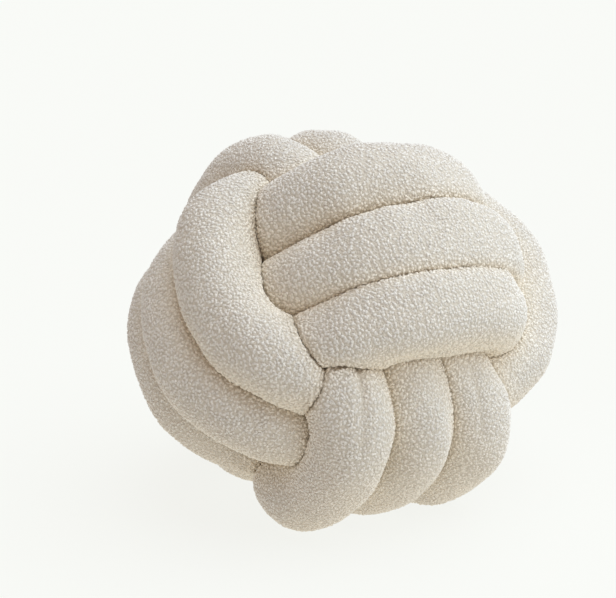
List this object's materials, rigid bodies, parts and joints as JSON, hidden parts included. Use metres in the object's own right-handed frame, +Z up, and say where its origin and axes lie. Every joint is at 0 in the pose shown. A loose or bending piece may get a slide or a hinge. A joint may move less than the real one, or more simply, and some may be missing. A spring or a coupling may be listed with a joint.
{
  "type": "knot cushion",
  "caption": "Round knot cushion wound from one long stuffed tube of cream bouclé into a monkey's-fist ball, resting on a flattened underside.",
  "frame": {"origin": "middle of the bounding box on the surface the cushion lies on", "axes": "+Z up, +X to the right and -Y towards the viewer who sees the face with the strands running across"},
  "size_m": [0.297, 0.2864, 0.2594],
  "materials": {
    "cream_boucle": "matt looped bouclé pile"
  },
  "bodies": {
    "root": {"knot_cushion": "cream_boucle"}
  },
  "joints": []
}
